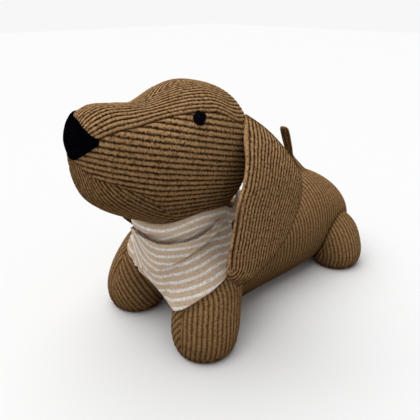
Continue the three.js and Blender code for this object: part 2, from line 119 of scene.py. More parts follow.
class Form:
    """A stuffed form from stations: front y and z, back y and z, half width, centre x."""

    FINE = 160

    def __init__(self, stations, square=2.0):
        self.stations = np.array(stations, float)
        self.square = square

    def half(self, places, side):
        """Fine points of half sections, from the front edge round one side to the back edge."""
        s = spline(self.stations, places)
        theta = np.linspace(0, math.pi, self.FINE + 1)
        bulge = lambda v: np.sign(v) * np.abs(v) ** (2 / self.square)
        along, across = bulge(np.cos(theta)), bulge(np.sin(theta))
        x = s[:, 5:6] + side * np.maximum(s[:, 4:5], 0) * across
        y = (s[:, 0:1] + s[:, 2:3]) / 2 + (s[:, 0:1] - s[:, 2:3]) / 2 * along
        z = (s[:, 1:2] + s[:, 3:4]) / 2 + (s[:, 1:2] - s[:, 3:4]) / 2 * along
        return np.stack([x, y, z], axis=-1)

    def even_places(self, step):
        """Places spaced evenly along the mean of the front and back edges."""
        t = np.linspace(0, 1, 600)
        s = spline(self.stations, t)
        run = np.zeros(len(t))
        for cols in ((0, 1), (2, 3)):
            run[1:] += np.cumsum(np.hypot(*np.diff(s[:, cols], axis=0).T)) / 2
        count = max(int(round(run[-1] / step)), 4)
        wanted = np.linspace(0, run[-1], count + 1)
        return np.interp(wanted, run, t), wanted


def arcs(fine):
    steps = np.linalg.norm(np.diff(fine, axis=1), axis=-1)
    return np.concatenate([np.zeros((len(fine), 1)), np.cumsum(steps, axis=1)], axis=1)


def halves(form, places, step=None, cols=None):
    """For each side: the side, its points, their arc positions and each row's whole length."""
    for side in (1, -1):
        fine = form.half(places, side)
        run = arcs(fine)
        whole = run[:, -1:]
        count = cols or int(whole.max() / step)
        wanted = whole * np.linspace(0, 1, count + 1)
        yield side, at_arc(fine, run, wanted), wanted, whole


def at_arc(fine, run, wanted):
    """Points of each fine row at the wanted arc lengths."""
    rows = []
    for line, r, w in zip(fine, run, wanted):
        rows.append(np.stack([np.interp(w, r, line[:, k]) for k in range(3)], axis=-1))
    return np.array(rows)


class Skin:
    """Patches of points that are welded into one closed skin."""

    def __init__(self):
        self.points, self.quads, self.coords, self.relief, self.shade = [], [], [], [], []
        self.count = 0

    def patch(self, points, coords, relief, shade=None, flip=False):
        rows, cols = points.shape[:2]
        index = np.arange(rows * cols).reshape(rows, cols)
        corners = [index[:-1, :-1], index[:-1, 1:], index[1:, 1:], index[1:, :-1]]
        quads = np.stack([c.ravel() for c in (corners[::-1] if flip else corners)], axis=1)
        self.quads.append(quads + self.count)
        self.coords.append(np.broadcast_to(coords, (rows, cols, 2)).reshape(-1, 2)[quads])
        self.points.append(points.reshape(-1, 3))
        self.relief.append(np.broadcast_to(relief, (rows, cols)).ravel())
        self.shade.append(np.broadcast_to(0.0 if shade is None else shade, (rows, cols)).ravel())
        self.count += rows * cols

    def weld(self):
        points = np.concatenate(self.points)
        quads = np.concatenate(self.quads)
        coords = np.concatenate(self.coords)
        _, first, same = np.unique(np.round(points / WELD), axis=0, return_index=True, return_inverse=True)
        same = same.ravel()
        often = np.bincount(same)
        mean = lambda v: np.bincount(same, weights=v) / often
        self.vertices = np.stack([mean(points[:, k]) for k in range(3)], axis=1)
        self.lift = mean(np.concatenate(self.relief))
        self.dark = mean(np.concatenate(self.shade))
        self.faces, self.corner_coords = [], []
        for quad, uv in zip(same[quads].tolist(), coords.tolist()):
            keep = [k for k in range(4) if quad[k] != quad[k - 1]]
            if len(keep) > 2:
                self.faces.append([quad[k] for k in keep])
                self.corner_coords.append([uv[k] for k in keep])
        volume = 0.0
        normals = np.zeros_like(self.vertices)
        for size in (3, 4):
            faces = np.array([f for f in self.faces if len(f) == size])
            if not len(faces):
                continue
            p = self.vertices[faces]
            cross = np.cross(p[:, 2] - p[:, 0], p[:, -1] - p[:, 1])
            volume += float(np.sum(p.mean(axis=1) * cross))
            for k in range(size):
                for axis in range(3):
                    normals[:, axis] += np.bincount(
                        faces[:, k], weights=cross[:, axis], minlength=len(normals))
        if volume < 0:
            self.faces = [f[::-1] for f in self.faces]
            self.corner_coords = [c[::-1] for c in self.corner_coords]
            normals = -normals
        self.normals = normals / np.maximum(np.linalg.norm(normals, axis=1), 1e-9)[:, None]
        return self

    def tree(self):
        return BVHTree.FromPolygons([Vector(v) for v in self.vertices], self.faces)

    def piece(self, name, material, floor=None):
        points = self.vertices + self.normals * self.lift[:, None]
        if floor is not None:
            points[:, 2] = np.maximum(points[:, 2], floor)
        mesh = bpy.data.meshes.new(name)
        mesh.from_pydata(to_scene(points).tolist(), [], self.faces)
        layer = mesh.uv_layers.new(name="cloth")
        flat = [c for corners in self.corner_coords for c in corners]
        layer.data.foreach_set("uv", np.array(flat, float).ravel())
        shade = mesh.attributes.new("shade", "FLOAT", "POINT")
        # painted shade: cloth that faces down is darkened as if lit only from above
        dark = np.maximum(self.dark, PAINTED_UNDERSIDE_SHADE * np.clip(UNDERSIDE_FROM - self.normals[:, 2], 0, 1))
        shade.data.foreach_set("value", dark.astype(np.float32))
        mesh.polygons.foreach_set("use_smooth", [True] * len(mesh.polygons))
        mesh.materials.append(material)
        obj = bpy.data.objects.new(name, mesh)
        bpy.context.scene.collection.objects.link(obj)
        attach(obj, "root")
        return obj


def joined_tree(skins):
    """One search tree round several skins."""
    faces, start = [], 0
    for skin in skins:
        faces += [[k + start for k in face] for face in skin.faces]
        start += len(skin.vertices)
    return BVHTree.FromPolygons([Vector(v) for skin in skins for v in skin.vertices], faces)


def shaded_by(skin, tree, width, share, dip=0.0):
    """Darkens and sinks a skin where it comes near another piece."""
    for k, vertex in enumerate(skin.vertices):
        away = tree.find_nearest(Vector(vertex), 2.5 * width)[3]
        if away is not None:
            near = math.exp(-((away / width) ** 2))
            skin.dark[k] = max(skin.dark[k], share * near)
            skin.lift[k] -= dip * near


def rib(wales):
    """Height of the pile across the ribs, 0 in a groove and 1 on a rib."""
    return np.abs(np.sin(math.pi * wales)) ** RIB_ROUNDING


def cord_relief(wales, seam=None):
    """Relief of ribbed cloth that sinks into its seams."""
    ribs = WALE_DEPTH * (rib(wales) - 1)
    if seam is None:
        return ribs
    flat = np.clip(seam / SEAM_CALM, 0, 1)
    return flat * ribs - SEAM_DEPTH * np.exp(-((seam / SEAM_WIDTH) ** 2))


def seam_shade(seam):
    return SEAM_DARK * np.exp(-((seam / SEAM_DARK_WIDTH) ** 2))


def nearest_on(fine, pixels, tree, step=2.0):
    """Rows and arc positions where a line drawn in the photo lies on a form's half."""
    run = arcs(fine)
    drawn = np.array(pixels, float)
    length = np.concatenate([[0], np.cumsum(np.hypot(*np.diff(drawn, axis=0).T))])
    many = np.arange(0, length[-1], step)
    found = []
    for px, py in zip(np.interp(many, length, drawn[:, 0]), np.interp(many, length, drawn[:, 1])):
        hit = tree.ray_cast(*pixel_ray(px, py))[0]
        if hit is None:
            continue
        away = np.linalg.norm(fine - np.array(hit), axis=-1)
        row, col = np.unravel_index(np.argmin(away), away.shape)
        found.append((row, run[row, col]))
    found.sort()
    return np.array(found, float)


# Stuffed pieces
TORSO_WIDTH, TORSO_TOP, SADDLE, RUMP, CHEST, NECK_TOP, LOW = 50, 103, 20, 166, -96, 140, -7
TORSO = Form(
    [
        [RUMP, 50, RUMP, 50, 0, 0],
        [RUMP - 1, TORSO_TOP - 37, RUMP - 6, 15, 0.72 * TORSO_WIDTH, 0],
        [RUMP - 21, TORSO_TOP - 17, RUMP - 26, LOW + 4, 0.97 * TORSO_WIDTH, 0],
        [RUMP - 57, TORSO_TOP - 3, RUMP - 62, LOW, TORSO_WIDTH, 0],
        [70, TORSO_TOP - SADDLE / 2, 65, LOW, 0.96 * TORSO_WIDTH, 0],
        [36, TORSO_TOP - SADDLE, 20, LOW, 0.82 * TORSO_WIDTH, 0],
        [8, TORSO_TOP - SADDLE / 2, -20, LOW, 0.78 * TORSO_WIDTH, 0],
        [-10, TORSO_TOP + 6, CHEST + 46, 8, 0.77 * TORSO_WIDTH, 0],
        [-17, TORSO_TOP + 12, CHEST + 23, 44, 0.74 * TORSO_WIDTH, 0],
        [-22, TORSO_TOP + 18, CHEST + 8, 84, 0.66 * TORSO_WIDTH, 0],
        [-36, NECK_TOP - 4, CHEST + 11, 112, 0.58 * TORSO_WIDTH, 0],
        [-62, NECK_TOP, -62, NECK_TOP, 0, 0],
    ],
    square=2.15,
)

HEAD_WIDTH, HIGH, UNDER, NOSE, NAPE = 45, 208, 103, -144, 0
HEAD = Form(
    [
        [NOSE, 170, NOSE, 170, 0, 0],
        [NOSE + 6, HIGH - 16, NOSE + 5, UNDER + 41, 0.36 * HEAD_WIDTH, 0],
        [NOSE + 20, HIGH - 7.5, NOSE + 15, UNDER + 27, 0.62 * HEAD_WIDTH, 0],
        [NOSE + 40, HIGH - 9, NOSE + 37, UNDER + 13, 0.8 * HEAD_WIDTH, 0],
        [NOSE + 60, HIGH - 10.5, NOSE + 60, UNDER + 2, 0.91 * HEAD_WIDTH, 0],
        [NOSE + 84, HIGH - 2, NOSE + 88, UNDER - 7.5, 0.98 * HEAD_WIDTH, 0],
        [NOSE + 104, HIGH, NOSE + 110, UNDER - 6, HEAD_WIDTH, 0],
        [NAPE - 16, HIGH - 9, NAPE - 16, UNDER + 8, 0.92 * HEAD_WIDTH, 0],
        [NAPE - 4, HIGH - 30, NAPE - 4, UNDER + 26, 0.62 * HEAD_WIDTH, 0],
        [NAPE, 154, NAPE, 154, 0, 0],
    ],
    square=2.4,
)

# Lines drawn on the photograph, in its pixels
UPPER_SEAM = [(97, 140.5), (104, 137.5), (118, 131.5), (130, 128.5), (145, 125), (152, 121),
              (172, 115), (198, 112), (223, 112), (240, 124)]
CHIN_SEAM = [(74, 162), (87, 174), (100, 182), (130, 191), (152, 199), (161, 207), (168, 217)]
SIDE_RIB = [(99, 147), (236, 162)]
CHEEK_FOLD = (160, 196)  # the lower ribs dip towards it
GUSSET_SHARE = 0.8  # the crown's ribs are stretched less than the cheeks'
SNOUT_END = -100  # from here to the nose the crown keeps the same number of ribs
HEAD_STEP, GUIDE_STEP = 1.2, 4  # spacing of the head's rows, and of the form that is drawn on
CHIN_CLIMB = 0.006  # how far the chin's seam moves up per row behind its drawn end
CHEEK_DIP = 0.2


def torso_skin():
    places, along = TORSO.even_places(STEP)
    skin = Skin()
    for side, points, wanted, _ in halves(TORSO, places, LONG_STEP):
        wales = (along / WALE)[:, None] + 0 * wanted
        skin.patch(points, np.stack([wales, wanted], -1), cord_relief(wales), flip=side < 0)
    return skin.weld()


def head_skin():
    places, along = HEAD.even_places(HEAD_STEP)
    base = Skin()
    coarse_places, _ = HEAD.even_places(GUIDE_STEP)
    for side in (1, -1):
        fine = HEAD.half(coarse_places, side)
        base.patch(fine[:, ::5], np.zeros(2), 0.0)
    tree = base.weld().tree()
    fine = HEAD.half(places, 1)
    run = arcs(fine)
    rows = np.arange(len(places))
    upper = nearest_on(fine, UPPER_SEAM, tree)
    chin = nearest_on(fine, CHIN_SEAM, tree)
    front, rear = (np.array(tree.ray_cast(*pixel_ray(*p))[0]) for p in SIDE_RIB)
    fold_y = tree.ray_cast(*pixel_ray(*CHEEK_FOLD))[0].y
    fall = (rear[2] - front[2]) / (rear[1] - front[1])
    whole = run[:, -1]
    smooth = lambda v: np.convolve(np.pad(v, 6, mode="edge"), np.ones(13) / 13, mode="valid")
    seam_a = smooth(np.interp(rows, upper[:, 0], upper[:, 1] / whole[upper[:, 0].astype(int)])) * whole
    chin_share = chin[:, 1] / whole[chin[:, 0].astype(int)]
    beyond = rows > chin[-1, 0]
    chin_share = np.interp(rows, chin[:, 0], chin_share) + beyond * CHIN_CLIMB * (rows - chin[-1, 0])
    seam_b = smooth(np.minimum(chin_share, 0.97)) * whole
    seam_b = np.maximum(seam_b, seam_a + 0.2 * whole)
    crown_ribs = seam_a / (GUSSET_SHARE * WALE)
    snout = int(np.argmin(np.abs(fine[:, 0, 1] - SNOUT_END)))
    crown_ribs[:snout] = crown_ribs[snout]
    skin = Skin()
    for side in (1, -1):
        fine = HEAD.half(places, side)
        bounds = [np.zeros_like(whole), seam_a, seam_b, whole]
        for k in range(3):
            start, end = bounds[k], bounds[k + 1]
            cols = int((end - start).max() / STEP)
            wanted = start[:, None] + (end - start)[:, None] * np.linspace(0, 1, cols + 1)
            seam = [end[:, None] - wanted, np.minimum(wanted - start[:, None], end[:, None] - wanted),
                    wanted - start[:, None]][k]
            middle = whole[:, None] - wanted if k == 2 else seam
            points = at_arc(fine, run, wanted)
            level = front[2] + fall * (points[..., 1] - front[1]) - points[..., 2]
            bend = CHEEK_DIP * np.clip(level / 40, 0, 1) ** 1.5 * np.hypot(points[..., 1] - fold_y, 6)
            wales = [(1 - np.linspace(0, 1, cols + 1)) * crown_ribs[:, None],
                     (level + bend) / (WALE * math.hypot(1, fall)),
                     (whole[:, None] - wanted) / (GUSSET_SHARE * WALE) + 0.5][k]
            nearest = np.minimum(seam, middle)
            lengths = along[:, None] + 0 * wanted
            calm = np.clip((points[..., 1] - NOSE) / 12, 0.1, 1)
            relief = calm * cord_relief(wales, nearest)
            skin.patch(points, np.stack([wales, lengths], -1), relief, seam_shade(nearest), side < 0)
    return skin.weld(), tree


def leg_form(side, x, y, width, length, top, lean, fore, back):
    """The upper rows reach to the shares of half the length in fore and back."""
    long, wide, tread = length / 2, width / 2, 0.8
    x, lean = side * x, side * lean
    return Form([
        [y, 0, y, 0, 0, x],
        [y - tread * long, 0, y + tread * long, 0, tread * wide, x],
        [y - long, 0.2 * top, y + long, 0.2 * top, wide, x],
        [y - fore[0] * long, 0.45 * top, y + back[0] * long, 0.45 * top, 0.95 * wide, x - 0.2 * lean],
        [y - fore[1] * long, 0.7 * top, y + back[1] * long, 0.7 * top, 0.82 * wide, x - 0.6 * lean],
        [y - fore[2] * long, 0.92 * top, y + back[2] * long, 0.92 * top, 0.5 * wide, x - lean],
        [y + 0.3 * long, top, y + 0.3 * long, top, 0, x - lean],
    ])


SOLE_PLACE = 1.4 / 6  # where the sole's seam lies, as a share of the leg's rows
LEG_STEP, LEG_SEAM = 1.8, 0.6
INNER_SLANT = (0.8, 0.6)  # the inner ribs turn away from upright


def leg_skin(side, **sizes):
    form = leg_form(side, **sizes)
    places, along = form.even_places(LEG_STEP)
    sole = int(np.argmin(np.abs(places - SOLE_PLACE)))
    skin = Skin()
    for turn, points, wanted, whole in halves(form, places, STEP):
        edge = np.minimum(wanted, whole - wanted)
        up = (along - along[sole])[:, None]
        if turn == side:
            wales = (wanted - whole / 2) / WALE
        else:
            wales = ((wanted - whole / 2) * INNER_SLANT[0] + up * INNER_SLANT[1]) / WALE
        lengths = along[:, None] + 0 * wanted
        seam = np.minimum(edge, np.abs(up))
        skin.patch(points[sole:], np.stack([wales, lengths], -1)[sole:],
                   cord_relief(wales, seam)[sole:], LEG_SEAM * seam_shade(seam)[sole:], turn < 0)
        flat = points[:sole + 1]
        under = flat[..., 0] / WALE
        rim = np.abs(up[:sole + 1]) + 0 * under
        skin.patch(flat, np.stack([under, flat[..., 1]], -1),
                   cord_relief(under, rim), seam_shade(rim), turn < 0)
    return skin.weld()


FORELEG = dict(x=46, y=-70, width=55, length=56, top=80, lean=8,
               fore=(0.9, 0.6, 0.2), back=(1.2, 1.4, 1.0))
HINDLEG = dict(x=50, y=128, width=53, length=54, top=62, lean=12,
               fore=(1.0, 0.85, 0.4), back=(1.05, 0.95, 0.5))

EAR_THICK, EAR_TOP_X, EAR_TIP_X, EAR_RIGHT_BACK = 4.5, 36, 71, 6
EAR_LINE = [(-14, 182), (-21, 174), (-30, 165), (-36, 155), (-44, 142), (-52, 130), (-56, 121),
            (-61, 108), (-65.5, 97), (-68, 86)]  # the ear's ribs run beside it
SLIT_TOP, SLIT_END, SLIT_WIDTH, SLIT_DEPTH = 134, 86, 1.3, 3.4
EAR_WALE, EAR_STEP, EAR_RIM = 3.5, 1.3, 2.2


def ear_x(share):
    return EAR_TOP_X + (EAR_TIP_X - EAR_TOP_X) * share


EAR = Form(
    [
        [-18, 183, -15, 183, 0, ear_x(0)],
        [-23, 175, 1, 170.5, 0.8 * EAR_THICK, ear_x(0.16)],
        [-32, 166, 10.5, 158, EAR_THICK, ear_x(0.4)],
        [-38, 155, 22, 141.5, EAR_THICK, ear_x(0.6)],
        [-46, 142, 27.5, 125.5, EAR_THICK, ear_x(0.74)],
        [-55, 128, 24, 108, EAR_THICK, ear_x(0.82)],
        [-62, 111, 8, 87.5, EAR_THICK, ear_x(0.9)],
        [-69, 94, -12, 75, 0.9 * EAR_THICK, ear_x(0.96)],
        [-72, 80, -41, 66, 0.7 * EAR_THICK, ear_x(1)],
        [-60, 65, -58, 65, 0, ear_x(1)],
    ],
    square=2.6,
)


def line_distance(points, line):
    """Distance in the y-z plane from points to a polyline, with the side they lie on."""
    yz = points[..., 1:]
    best = np.full(yz.shape[:-1], 1e9)
    ahead = np.zeros_like(best)
    for a, b in zip(np.array(line, float)[:-1], np.array(line, float)[1:]):
        d = b - a
        share = np.clip(((yz - a) @ d) / (d @ d), 0, 1)
        off = yz - a - share[..., None] * d
        far = np.linalg.norm(off, axis=-1)
        cross = d[0] * off[..., 1] - d[1] * off[..., 0]
        ahead = np.where(far < best, np.sign(cross), ahead)
        best = np.minimum(best, far)
    return best, ahead


def ear_skin():
    places, along = EAR.even_places(EAR_STEP)
    skin = Skin()
    for side, points, wanted, whole in halves(EAR, places, STEP):
        away, ahead = line_distance(points, EAR_LINE)
        wales = away / EAR_WALE
        edge = whole - wanted
        rim = edge < EAR_RIM
        relief = np.where(rim, 0.4, cord_relief(wales))
        shade = 0.6 * seam_shade(edge - EAR_RIM - 1)
        wales = np.where(rim, 0.5, wales)
        if side == 1:
            open_slit = np.clip((SLIT_TOP - points[..., 2]) / 12, 0, 1)
            plain = open_slit * ((ahead < 0) & (points[..., 2] > SLIT_END - 4))
            wales = wales * (1 - plain) + 0.3 * plain
            turned = np.clip(away / 1.5, 0, 1)
            cut = SLIT_DEPTH * open_slit * np.exp(-((away / SLIT_WIDTH) ** 2))
            relief = relief * (1 - plain) + plain * turned - cut
            shade = np.maximum(shade, open_slit * np.exp(-((away / SLIT_WIDTH) ** 4)))
        lengths = along[:, None] + 0 * wanted
        skin.patch(points, np.stack([wales, lengths], -1), relief, shade, side < 0)
    return skin


def mirrored(skin, back):
    """The same patches for the dog's right side."""
    other = Skin()
    other.quads, other.coords, other.relief, other.shade = skin.quads, skin.coords, skin.relief, skin.shade
    other.points = [p * np.array([-1, 1, 1]) + np.array([0, back, 0]) for p in skin.points]
    return other


TAIL_BASE, TAIL_NECK, TAIL_END = (113, 95), (99, 118), (86, 147)
TAIL_WIDE, TAIL_THICK, TAIL_STEP, TAIL_COLS = 4.8, 2.6, 0.8, 24


def tail_skin():
    wide, thick = TAIL_WIDE, TAIL_THICK
    route = lambda t: spline([TAIL_BASE, TAIL_NECK, TAIL_END], np.array([t]))[0]
    at = lambda t, w, d: [route(t)[0] - d, route(t)[1], route(t)[0] + d, route(t)[1], w, 0]
    form = Form([
        [*TAIL_BASE, *TAIL_BASE, 0, 0],
        at(0.06, 2.6 * wide, 3.4 * thick),
        at(0.2, 2.0 * wide, 2.8 * thick),
        at(0.45, 0.8 * wide, 1.1 * thick),
        at(0.65, wide, thick),
        at(0.97, wide, thick),
        [TAIL_END[0] - 1, TAIL_END[1] + 2, TAIL_END[0] - 1, TAIL_END[1] + 2, 0, 0],
    ], square=2.8)
    places, along = form.even_places(TAIL_STEP)
    skin = Skin()
    for side, points, wanted, whole in halves(form, places, cols=TAIL_COLS):
        wales = (wanted - whole / 2) / WALE + 0.5
        lengths = along[:, None] + 0 * wanted
        skin.patch(points, np.stack([wales, lengths], -1), 0.5 * cord_relief(wales), flip=side < 0)
    return skin.weld()


POUCH_STEP, POUCH_COLS = 3, 40
POUCH_SEAM, POUCH_SEAM_WIDTH = 1.2, 2


def pouch_skin():
    middle, long, wide, seat, top = 42, 62, 33, 2.3, 58
    form = Form([
        [middle - long, 24, middle - long, 24, 0, 0],
        [middle - 0.92 * long, top - 12, middle - 0.92 * long, seat, 0.6 * wide, 0],
        [middle - 0.5 * long, top, middle - 0.5 * long, seat - 3, wide, 0],
        [middle + 0.5 * long, top, middle + 0.5 * long, seat - 3, wide, 0],
        [middle + 0.92 * long, top - 12, middle + 0.92 * long, seat, 0.6 * wide, 0],
        [middle + long, 24, middle + long, 24, 0, 0],
    ])
    places, along = form.even_places(POUCH_STEP)
    skin = Skin()
    for side, points, wanted, whole in halves(form, places, cols=POUCH_COLS):
        edge = np.abs(wanted - whole / 2)
        lengths = along[:, None] + 0 * wanted
        skin.patch(points, np.stack([wanted, lengths], -1),
                   -POUCH_SEAM * np.exp(-((edge / POUCH_SEAM_WIDTH) ** 2)), flip=side < 0)
    return skin.weld()


def panel_skin():
    """The flat base panel, a stadium outline with a rounded rim."""
    middle, straight, half, thick = 42, 44, 23, 2.0
    turn = np.linspace(0, 2 * math.pi, 121)
    ends = np.where(np.sin(turn) > 0, straight, -straight)
    outline = np.stack([half * np.cos(turn), half * np.sin(turn) + ends], 1)
    ring = lambda r, z: np.column_stack([outline * r + [0, middle], np.full(len(turn), z)])
    inner = [ring(r, 0.0) for r in np.linspace(0, 0.97, 30)]
    rim = [ring(1.0, 0.5), ring(1.0, thick - 0.4)]
    upper = [ring(r, thick) for r in np.linspace(0.98, 0, 12)]
    points = np.array(inner + rim + upper)
    wales = points[..., 0] / WALE
    skin = Skin()
    skin.patch(points, np.stack([wales, points[..., 1]], -1), 0.0)
    return skin.weld()


# Nose and eyes
NOSE_EDGE = [(72.5, 114), (77, 120), (82, 127), (88, 133.2), (93, 137.8), (97, 140.4), (98.8, 143.2),
             (97.6, 146.6), (92.5, 150), (85, 155), (78.5, 158.6), (73, 160)]
NOSE_MIDDLE = (82, 140)
NOSE_LIFT, NOSE_SUNK = 1.7, 1.5
NOSE_REACH = -127  # the far edge stays in front of this
NOSE_RISE = 6  # how much higher the far edge runs than the near one
IN_FRONT = -250  # where rays towards the snout start


def nose_skin(tree):
    """A felt patch that follows the snout, from an outline drawn on the photograph."""
    drawn = []
    for px, py in NOSE_EDGE:
        hit, share = None, 0.0
        while hit is None:
            place = [a + (b - a) * share for a, b in zip((px, py), NOSE_MIDDLE)]
            hit, share = tree.ray_cast(*pixel_ray(*place))[0], share + 0.02
        drawn.append((hit.x, hit.z))
    share = np.linspace(0, 1, len(drawn))
    axis = drawn[0][0] + (drawn[-1][0] - drawn[0][0]) * share
    far = []
    for a, s, (x, z) in zip(axis, share, drawn):
        x, z = 2 * a - x, z + NOSE_RISE * math.sin(math.pi * s)
        hit = None
        while hit is None or hit.y > NOSE_REACH:
            hit, x = tree.ray_cast(Vector((x, IN_FRONT, z)), Vector((0, 1, 0)))[0], x + 0.5
        far.append((x - 0.5, z))
    closed = drawn + far[-2:0:-1] + [drawn[0]]
    edge = spline(closed, np.linspace(0, 1, 145))
    middle = np.array([axis.mean(), (drawn[0][1] + drawn[-1][1]) / 2])
    rings = np.concatenate([np.linspace(0, 0.9, 26), [0.94, 0.97, 0.99, 1.0]])
    points = np.zeros((len(rings), len(edge), 3))
    for i, r in enumerate(rings):
        for j, (x, z) in enumerate(middle + (edge - middle) * r):
            place, normal = tree.ray_cast(Vector((x, IN_FRONT, z)), Vector((0, 1, 0)))[:2]
            out = NOSE_LIFT * math.sqrt(max(1 - max(0, (r - 0.9) / 0.1) ** 2, 0)) - 0.4 * (r == 1)
            points[i, j] = place + (normal if normal.y < 0 else -normal) * out
    skin = Skin()
    skin.patch(points, points[..., [0, 2]], 0.0)
    sunk = points.copy()
    sunk[:, :, 1] += NOSE_SUNK
    sunk[-1] = points[-1]
    skin.patch(sunk[::-1], sunk[::-1][..., [0, 2]], 0.0)
    return skin.weld()


EYE_Y, EYE_Z, EYE_SIZE = -64, 188, (4.1, 4.4, 4.9)
EYE_OUT = 0.6
FAR_EYE_DROP = 2
KNOT, STRAND = 0.95, 0.09
KNOT_SEED = 1795820293  # Blender's noise vector is seeded by the clock unless it is told


def add_eye(name, tree, side, material):
    """A ball of knotted thread sewn to the cheek."""
    noise.seed_set(KNOT_SEED)
    level = EYE_Z - (FAR_EYE_DROP if side < 0 else 0)
    seat = tree.ray_cast(Vector((side * 80, EYE_Y, level)), Vector((-side, 0, 0)))[0]
    rows, cols = 72, 96
    lat = np.linspace(0, math.pi, rows)[:, None]
    lon = np.linspace(0, 2 * math.pi, cols + 1)[None, :]
    ball = np.stack([np.sin(lat) * np.cos(lon), np.sin(lat) * np.sin(lon), np.cos(lat) + 0 * lon], -1)
    ball[:, -1] = ball[:, 0]
    height = np.zeros(ball.shape[:2])
    for i in range(rows):
        for j in range(cols + 1):
            p = Vector(ball[i, j])
            turn = p + noise.noise_vector(p * 1.3) * 0.4
            near = noise.voronoi(turn * 1.5)[0]
            strand = math.sin(26 * (turn.x * 0.6 + turn.z * 0.7 + 0.5 * math.sin(3 * turn.y)))
            height[i, j] = KNOT * (1.6 - 2.6 * near[0]) + STRAND * strand
    points = ball * np.array(EYE_SIZE) + np.array(seat) + [side * EYE_OUT, 0, 0]
    skin = Skin()
    skin.patch(points, np.zeros(2), height)
    return skin.weld().piece(name, material)


# Neckerchief
NECK_X, NECK_FRONT, NECK_BACK, NECK_Y = 36, 35, 58, -57
KERCHIEF_TOP, TUCK, CLOTH_REST, BAND, BACK_BAND, LINEN_THICKNESS = 118, 4, 1.4, 26, 13, 0.9
FRONT_SPREAD, SIDE_SPREAD, BACK_SPREAD = 34, 7, 5  # how far it stands off the neck at most
SIDE_FROM, SIDE_TO, LEFT_EXTRA = -0.6, -0.95, 5
DROP_STEP, DEEPEST = 2.0, 96
BLEND = 5  # rows on each side that the drape is eased over
PRESSED, PRESSED_AT, PRESSED_WIDTH = 4, -0.8, 0.4  # it lies closer on the dog's right
STRIPE = 6.7
KINK = 0.25  # the angle round the neck where the stripes turn
FACING = 0.785  # the angle that faces the camera
AROUND = 48  # millimetres of cloth to one radian
ROLL_RISE, LEFT_RISE = 4.5, 1.6  # how far the rolled edge is pushed up against the jaw
ROLL_BULGE = 3.0
FLAP_ROWS, LAYER_ROWS, ROLL_ROWS = 66, 46, 20

# Lines drawn on the photograph, in its pixels
FLAP_HEM = [(134, 256), (137, 263), (145, 274), (155, 286), (165, 298), (174.5, 310.5), (183, 308.5),
            (195, 302), (210, 292), (222, 280), (228, 272)]
COWL = [(134, 227), (145, 235), (160, 242), (170, 242.7), (186, 240.6), (199, 236),
        (210, 227), (222, 214), (229, 204)]
OVERLAP = [(138, 262), (147, 269), (157, 270.5), (171, 264), (186, 255.5), (199, 245),
           (215, 230), (226, 217), (230, 206)]
ROLL_EDGE = [(134, 226), (145, 232.5), (162, 234.5), (185, 233.5), (206, 227.5), (222, 214), (229, 204)]


